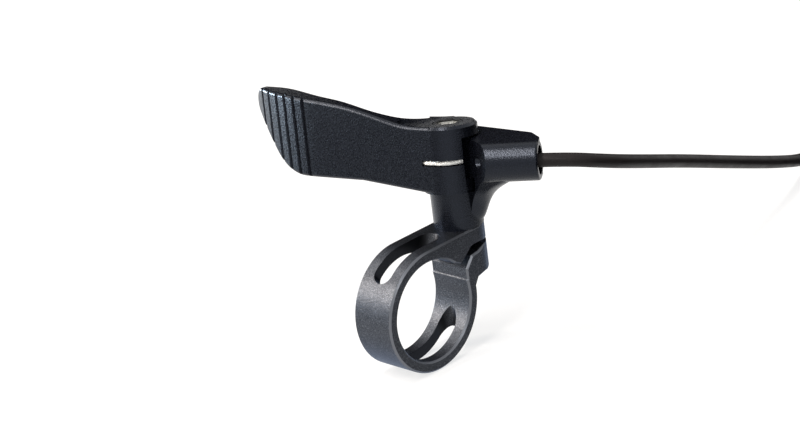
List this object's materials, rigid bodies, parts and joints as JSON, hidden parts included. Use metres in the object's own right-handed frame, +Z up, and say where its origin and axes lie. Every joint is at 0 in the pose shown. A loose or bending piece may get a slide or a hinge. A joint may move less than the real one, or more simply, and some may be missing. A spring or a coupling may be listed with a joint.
{
  "type": "dropper post remote lever",
  "caption": "Handlebar-clamped thumb lever on a bearing pivot that pulls a wire through a bracket barrel into stiff housing, for a height-adjustable seat post.",
  "frame": {"origin": "centre of the handlebar clamp's bore", "axes": "+X along the handlebar, +Y from the bar to the lever, +Z up along the bracket's post"},
  "size_m": [0.1093, 0.1866, 0.0518],
  "materials": {
    "band_alloy": "dark satin anodised, machined",
    "bracket_alloy": "dark bead-blasted anodised",
    "lever_alloy": "dark fine-grained anodised",
    "dark_steel": "black oxide",
    "bright_steel": "bright drawn or ground",
    "housing_skin": "smooth semi-gloss sheath"
  },
  "bodies": {
    "bracket": {"clamp_band": "band_alloy", "clamp_bolt": "dark_steel", "lever_bracket": "bracket_alloy", "pivot_bolt": "dark_steel", "upper_bearing_inner_race": "bright_steel", "lower_bearing_inner_race": "bright_steel", "upper_spacer": "bright_steel", "lower_spacer": "bright_steel", "housing_ferrule": "dark_steel", "housing_tube": "housing_skin", "housing_coil": "housing_skin", "housing_tail": "housing_skin", "end_ferrule": "dark_steel", "wire_end": "bright_steel", "wire_nipple": "bright_steel"},
    "lever": {"thumb_lever": "lever_alloy", "cable_clamp_screw": "bright_steel", "wire_on_lever": "bright_steel", "upper_bearing_outer_race": "bright_steel", "upper_bearing_seal": "dark_steel", "lower_bearing_outer_race": "bright_steel", "lower_bearing_seal": "dark_steel"}
  },
  "joints": [
    {"name": "lever_pivot", "type": "hinge", "parent": "bracket", "child": "lever", "pos_m": [0, 0.0156, 0.028], "axis": [-0.1006, 0.1198, 0.9877], "range_deg": [-34, 0]}
  ]
}
